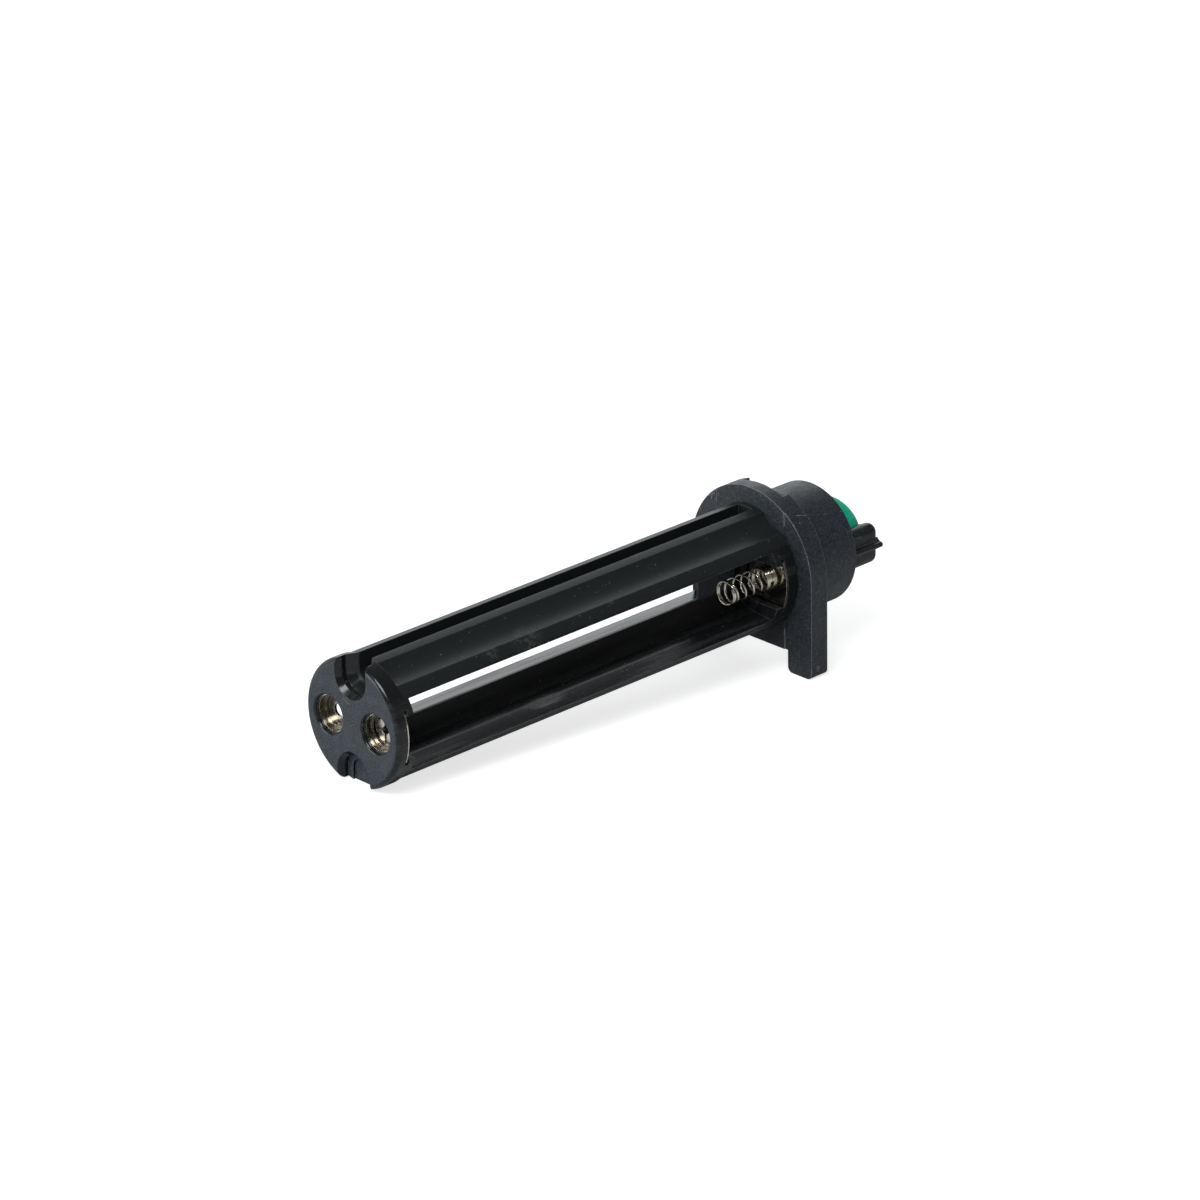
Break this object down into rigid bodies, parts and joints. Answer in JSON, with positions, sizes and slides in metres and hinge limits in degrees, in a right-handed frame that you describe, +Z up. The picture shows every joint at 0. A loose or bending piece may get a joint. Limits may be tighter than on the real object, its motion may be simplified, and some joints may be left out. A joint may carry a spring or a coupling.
{
  "type": "cylindrical cell holder: slide-in AA cell magazine with turn knob",
  "caption": "Tubular slide-in magazine for AA cells in two side channels, with nose contact wells, end springs, a footed flange and a turn knob.",
  "frame": {"origin": "centre of the nose face, on the tube's axis", "axes": "+Y along the tube from the nose to the flange and knob, +X towards the right-hand cell channel, +Z up, away from the feet"},
  "size_m": [0.037, 0.1471, 0.0408],
  "materials": {
    "cradle_plastic": "glossy black moulding",
    "housing_plastic": "fine textured black moulding",
    "contact_metal": "nickel plate",
    "spring_metal": "nickel-plated wire",
    "screw_steel": "zinc plate",
    "shaft_steel": "turned steel",
    "seal_rubber": "matte",
    "dome_green": "satin teal green",
    "grip_plastic": "fine textured black moulding"
  },
  "bodies": {
    "magazine": {"cell_cradle": "cradle_plastic", "flange_housing": "housing_plastic", "socket_cup_left": "contact_metal", "socket_cup_right": "contact_metal", "contact_plate_left": "contact_metal", "contact_plate_right": "contact_metal", "bridge_plate": "contact_metal", "spring_left": "spring_metal", "spring_right": "spring_metal", "flange_screws": "screw_steel", "friction_washer": "shaft_steel", "shaft_seal": "seal_rubber"},
    "knob": {"knob_shaft": "shaft_steel", "shaft_clip": "shaft_steel", "knob_dome": "dome_green", "knob_grip": "grip_plastic", "knob_screw": "screw_steel"}
  },
  "joints": [
    {"name": "knob_turn", "type": "hinge", "parent": "magazine", "child": "knob", "pos_m": [0, 0.1368, 0], "axis": [0, 1, 0], "range_deg": [0, 90]}
  ]
}
